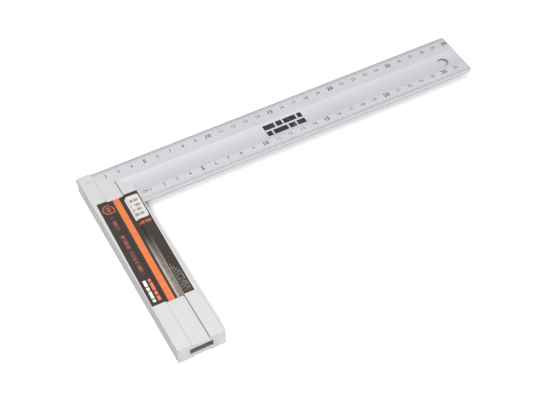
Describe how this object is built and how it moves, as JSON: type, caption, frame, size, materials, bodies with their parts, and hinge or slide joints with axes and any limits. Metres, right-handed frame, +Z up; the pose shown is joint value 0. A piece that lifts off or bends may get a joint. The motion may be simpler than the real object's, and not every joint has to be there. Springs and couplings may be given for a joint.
{
  "type": "try and mitre square",
  "caption": "Fixed carpenter's square: a ruled aluminium blade pinned at a right angle in a hollow aluminium stock with a 45 degree mitre face.",
  "frame": {"origin": "under the centre of the whole outline, on the plane that the stock's underside rests on", "axes": "+X along the blade from the heel to the tip, +Y from the stock's near end towards the blade, +Z up through the stock's thickness"},
  "size_m": [0.303, 0.1694, 0.0131],
  "materials": {
    "stock": "satin, matt anodised",
    "blade": "satin, fine lengthwise grain",
    "pins": "ground flush",
    "label": "printed film, semi-gloss"
  },
  "bodies": {
    "root": {"stock": "stock", "blade": "blade", "blade_pins": "pins", "label": "label"}
  },
  "joints": []
}
